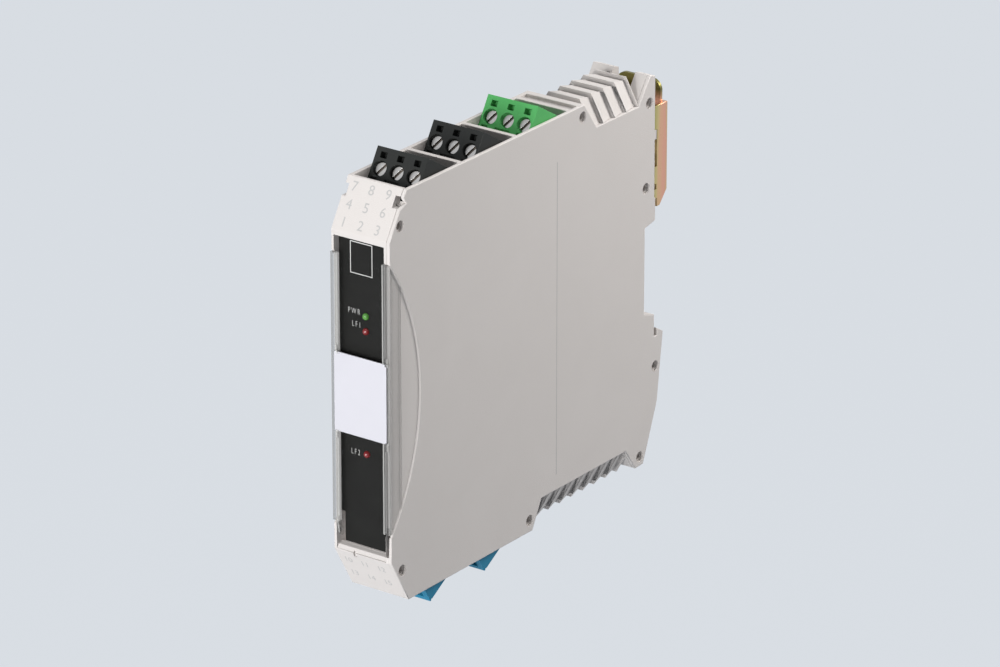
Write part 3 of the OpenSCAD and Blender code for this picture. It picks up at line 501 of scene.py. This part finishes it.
# Rail latch
# A U of sheet steel with a yellow chromate skin, which shimmers from brass to pink and green. It
# was punched and bent, so its edges are slightly rounded and its faces carry drawing lines.
def chromate():
    material = bpy.data.materials.new("yellow_chromate")
    material.use_nodes = True
    tree = material.node_tree
    node, link = tree.nodes.new, tree.links.new
    shader = tree.nodes["Principled BSDF"]
    shader.inputs["Metallic"].default_value = 1.0
    place = node("ShaderNodeTexCoord")
    stretch = node("ShaderNodeMapping")
    stretch.inputs["Scale"].default_value = (260, 260, 26)
    shimmer = node("ShaderNodeTexNoise")
    shimmer.inputs["Scale"].default_value = 1.0
    shimmer.inputs["Detail"].default_value = 3
    shimmer.inputs["Distortion"].default_value = 0.8
    across = node("ShaderNodeSeparateXYZ")
    depth = node("ShaderNodeMapRange")
    depth.inputs["From Min"].default_value = 0.0
    depth.inputs["From Max"].default_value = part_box("rail_latch")[1].y
    film = node("ShaderNodeMix")
    film.inputs["Factor"].default_value = 0.45
    ramp = node("ShaderNodeValToRGB")
    ramp.color_ramp.elements[0].position = 0.2
    ramp.color_ramp.elements[0].color = (0.50, 0.45, 0.17, 1)
    ramp.color_ramp.elements[1].position = 0.85
    ramp.color_ramp.elements[1].color = (0.62, 0.52, 0.22, 1)
    for at, colour in ((0.38, (0.66, 0.52, 0.25, 1)), (0.5, (0.78, 0.45, 0.28, 1)), (0.66, (0.80, 0.40, 0.29, 1))):
        ramp.color_ramp.elements.new(at).color = colour
    # From 44.5 to 47.5 mm up, the colour turns to a dark olive, darkest at the top of the tab.
    tab = node("ShaderNodeMapRange")
    tab.inputs["From Min"].default_value = 0.0445
    tab.inputs["From Max"].default_value = 0.0475
    olive_top = node("ShaderNodeMix")
    olive_top.data_type = "RGBA"
    olive_top.inputs["B"].default_value = (0.20, 0.18, 0.06, 1)
    lines = node("ShaderNodeMapping")
    lines.inputs["Scale"].default_value = (7000, 7000, 500)
    drawn = node("ShaderNodeTexNoise")
    drawn.inputs["Scale"].default_value = 1.0
    gloss = node("ShaderNodeMapRange")
    gloss.inputs["To Min"].default_value = 0.36
    gloss.inputs["To Max"].default_value = 0.24
    bump = node("ShaderNodeBump")
    bump.inputs["Strength"].default_value = 0.4
    bump.inputs["Distance"].default_value = 0.00001
    link(place.outputs["Object"], stretch.inputs["Vector"])
    link(stretch.outputs["Vector"], shimmer.inputs["Vector"])
    link(place.outputs["Object"], across.inputs["Vector"])
    link(across.outputs["Y"], depth.inputs["Value"])
    link(depth.outputs["Result"], film.inputs["A"])
    link(shimmer.outputs["Fac"], film.inputs["B"])
    link(film.outputs["Result"], ramp.inputs["Fac"])
    link(across.outputs["Z"], tab.inputs["Value"])
    link(tab.outputs["Result"], olive_top.inputs["Factor"])
    link(ramp.outputs["Color"], olive_top.inputs["A"])
    link(olive_top.outputs["Result"], shader.inputs["Base Color"])
    link(place.outputs["Object"], lines.inputs["Vector"])
    link(lines.outputs["Vector"], drawn.inputs["Vector"])
    link(drawn.outputs["Fac"], gloss.inputs["Value"])
    link(gloss.outputs["Result"], shader.inputs["Roughness"])
    link(drawn.outputs["Fac"], bump.inputs["Height"])
    link(bump.outputs["Normal"], shader.inputs["Normal"])
    return material


latch = eased_copy("rail_latch", "latch_sheet", 0.00012, 0.001)
paint(latch, chromate())
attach(latch, "latch")

# Terminal numbers
# Small grey numbers printed on the two front bevels, one for each pole, and the thin line printed
# on the right wall. They are a hair proud of the plastic.
number_grey = moulded_plastic("grey_print", (0.36, 0.355, 0.35), (0.41, 0.405, 0.40), 0.6, 0.5, 4000, 0.00001, 300)
front_y, bevel_run, bevel_rise = -0.1115, 0.0069, 0.0117
bevel_length = math.hypot(bevel_run, bevel_rise)
digits = []
for upper, corner_z, rows in ((True, 0.0428, ("123", "456", "789")), (False, -0.0413, (("10", "11", "12"), ("13", "14", "15")))):
    for level, numbers in enumerate(rows):
        for column, number in enumerate(numbers):
            along = 0.0021 + 0.0045 * level if upper else 0.0034 + 0.0052 * level
            y = front_y + bevel_run * along / bevel_length
            z = corner_z + (1 if upper else -1) * bevel_rise * along / bevel_length
            tilt = math.atan2(bevel_rise, bevel_run)
            turn = tilt if upper else math.pi - tilt
            digits.append(lettering(number, f"number_{number}", 0.0036 if upper else 0.0026,
                                    (-0.0008 + (column - 1) * 0.00508, y, z), turn))
bpy.ops.object.select_all(action="DESELECT")
wall_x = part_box("side_cover")[1].x
bpy.ops.mesh.primitive_cube_add(size=1, location=(wall_x, -0.0428, 0.0008))
line = bpy.context.object
line.scale = (0.00004, 0.00022, 0.084)
bpy.ops.object.transform_apply(location=True, rotation=True, scale=True)
numbers = join_as(digits + [line], "wall_and_bevel_print")
paint(numbers, number_grey)
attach(numbers, "case")

# Studio
# A plain pale floor well below the held module, the same pale blue-grey all round, and large soft
# lamps: one ahead on the left for the front, one above, and a weaker one on the right.
sky = (0.708, 0.745, 0.791)


def backdrop_rays(tree):
    """1 for the rays that should meet the plain backdrop: camera, glossy and transmission rays."""
    rays = tree.nodes.new("ShaderNodeLightPath")
    either = tree.nodes.new("ShaderNodeMath")
    either.operation = "MAXIMUM"
    every = tree.nodes.new("ShaderNodeMath")
    every.operation = "MAXIMUM"
    tree.links.new(rays.outputs["Is Camera Ray"], either.inputs[0])
    tree.links.new(rays.outputs["Is Glossy Ray"], either.inputs[1])
    tree.links.new(either.outputs["Value"], every.inputs[0])
    tree.links.new(rays.outputs["Is Transmission Ray"], every.inputs[1])
    return every.outputs["Value"]


bpy.ops.object.select_all(action="DESELECT")
bpy.ops.mesh.primitive_plane_add(size=14, location=(0, 2.5, -0.36))
floor = bpy.context.object
floor.name = "floor"
pale = bpy.data.materials.new("pale_floor")
pale.use_nodes = True
tree = pale.node_tree
glow = tree.nodes.new("ShaderNodeEmission")
glow.inputs["Color"].default_value = (*sky, 1)
body = tree.nodes["Principled BSDF"]
body.inputs["Base Color"].default_value = (*[0.66 * part for part in sky], 1)
body.inputs["Roughness"].default_value = 0.9
most = tree.nodes.new("ShaderNodeMath")
most.operation = "MULTIPLY"
most.inputs[1].default_value = 0.955
blend = tree.nodes.new("ShaderNodeMixShader")
tree.links.new(backdrop_rays(tree), most.inputs[0])
tree.links.new(most.outputs["Value"], blend.inputs[0])
tree.links.new(body.outputs["BSDF"], blend.inputs[1])
tree.links.new(glow.outputs["Emission"], blend.inputs[2])
tree.links.new(blend.outputs["Shader"], tree.nodes["Material Output"].inputs["Surface"])
floor.data.materials.append(pale)

world = bpy.data.worlds.new("pale_room")
bpy.context.scene.world = world
world.use_nodes = True
room = world.node_tree
ambient = room.nodes["Background"]
ambient.inputs["Color"].default_value = (0.98, 0.99, 1.0, 1)
ambient.inputs["Strength"].default_value = 0.22
backdrop = room.nodes.new("ShaderNodeBackground")
backdrop.inputs["Color"].default_value = (*sky, 1)
room_mix = room.nodes.new("ShaderNodeMixShader")
room.links.new(backdrop_rays(room), room_mix.inputs[0])
room.links.new(ambient.outputs["Background"], room_mix.inputs[1])
room.links.new(backdrop.outputs["Background"], room_mix.inputs[2])
room.links.new(room_mix.outputs["Shader"], room.nodes["World Output"].inputs["Surface"])


def soft_lamp(name, place, size, watts, colour=(1, 1, 1)):
    bpy.ops.object.light_add(type="AREA", location=place)
    lamp = bpy.context.object
    lamp.name = name
    lamp.data.size = size
    lamp.data.energy = watts
    lamp.data.color = colour
    lamp.rotation_mode = "QUATERNION"
    lamp.rotation_quaternion = (case_centre - Vector(place)).to_track_quat("-Z", "Y")


soft_lamp("front_lamp", (0.04, -1.5, 0.16), 0.7, 25.2)
soft_lamp("top_lamp", (0.0, 0.05, 1.3), 0.8, 8.5)
soft_lamp("right_lamp", (0.26, 0.20, 0.28), 0.25, 1.9, (1.0, 0.975, 0.95))
